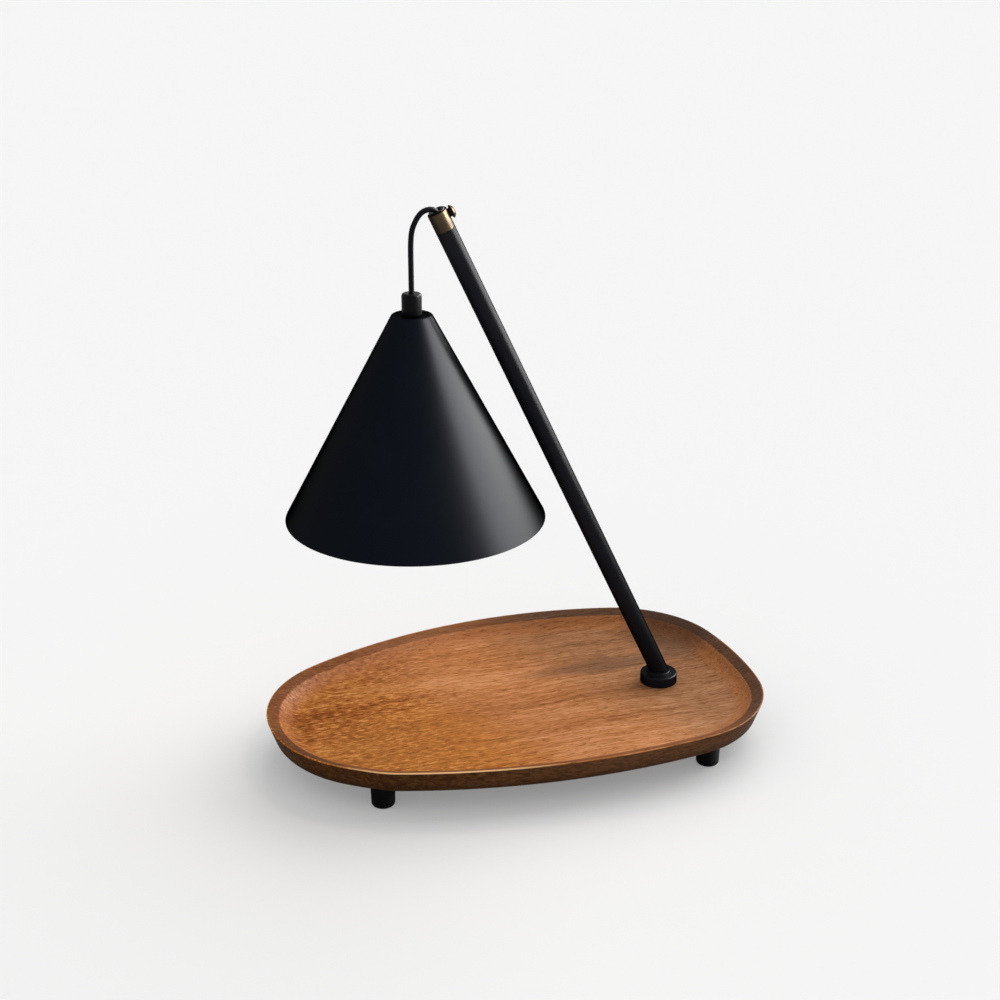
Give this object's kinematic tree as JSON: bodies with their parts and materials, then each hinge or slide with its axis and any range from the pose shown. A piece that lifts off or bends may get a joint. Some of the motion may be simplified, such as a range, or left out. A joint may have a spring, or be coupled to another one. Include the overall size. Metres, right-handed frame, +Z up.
{
  "type": "candle warmer lamp",
  "caption": "Candle warmer lamp: dished wooden tray on feet, leaning tube arm, conical metal shade hanging on a clamped cord over the candle place.",
  "frame": {"origin": "on the surface the feet stand on, under the middle of the part's box", "axes": "+Z up, +X along the tray towards the arm's foot, +Y away from the front"},
  "size_m": [0.3249, 0.2126, 0.3538],
  "materials": {
    "wood": "oiled, satin",
    "foot_rubber": "matt",
    "screw_steel": "zinc plated",
    "black_metal": "satin black",
    "shade_metal": "matt black powder coat",
    "aged_brass": "aged, lacquered",
    "black_plastic": "moulded, satin",
    "cord_sheath": "smooth black sheath",
    "core_sheath": "heat resistant sleeve",
    "holder_ceramic": "glazed ceramic",
    "contact_brass": "plated",
    "lamp_glass": "mirrored inside",
    "lens_glass": "clear, lit warm"
  },
  "bodies": {
    "base": {"wood_tray": "wood", "foot_front_left": "foot_rubber", "foot_front_right": "foot_rubber", "foot_back_left": "foot_rubber", "foot_back_right": "foot_rubber", "foot_washers": "screw_steel", "foot_screws": "screw_steel", "arm_hub": "black_metal", "hub_washer": "screw_steel", "hub_nut": "screw_steel", "arm_tube": "black_metal", "tube_ferrule": "aged_brass", "cord_bush": "black_plastic", "screw_washer": "black_plastic", "arm_lead": "cord_sheath", "lead_clip": "black_metal", "clip_screws": "screw_steel", "mains_block": "black_plastic", "block_screws": "screw_steel", "mains_gland": "black_plastic", "cord_bend": "cord_sheath"},
    "clamp_jaw": {"clamp_pad": "black_plastic"},
    "clamp_screw": {"thumb_screw": "aged_brass"},
    "hanging_cord": {"cord_drop": "cord_sheath"},
    "hanging_shade": {"cord_grip": "black_plastic", "grip_screw": "screw_steel", "shade_nipple": "screw_steel", "shade": "shade_metal", "inner_washer": "screw_steel", "inner_nut": "screw_steel", "holder_bracket": "black_metal", "holder_screws": "screw_steel", "lamp_holder": "holder_ceramic", "holder_contacts": "contact_brass", "shade_lead": "cord_sheath", "holder_wires": "core_sheath", "lamp_pins": "contact_brass", "lamp_base": "holder_ceramic", "lamp_bowl": "lamp_glass", "lamp_lens": "lens_glass", "lamp_capsule": "lens_glass"}
  },
  "joints": [
    {"name": "clamp_travel", "type": "slide", "parent": "base", "child": "clamp_jaw", "axis": [0.9041, 0, 0.4274], "range_m": [0, 0.00075]},
    {"name": "thumb_turn", "type": "hinge", "parent": "clamp_jaw", "child": "clamp_screw", "pos_m": [-0.04596, -0.0031, 0.34658], "axis": [0.9041, 0, 0.4274], "range_deg": [0, 545]},
    {"name": "shade_swing", "type": "hinge", "parent": "base", "child": "hanging_cord", "pos_m": [-0.06386, -0.0031, 0.32397], "axis": [0, 1, 0], "range_deg": [-3, 10]},
    {"name": "shade_height", "type": "slide", "parent": "hanging_cord", "child": "hanging_shade", "axis": [0, 0, 1], "range_m": [-0.04, 0.01], "deforming": ["cord_drop"]}
  ],
  "couplings": [
    {"joint": "thumb_turn", "follows": "clamp_travel", "rad_per_m": 12566}
  ]
}
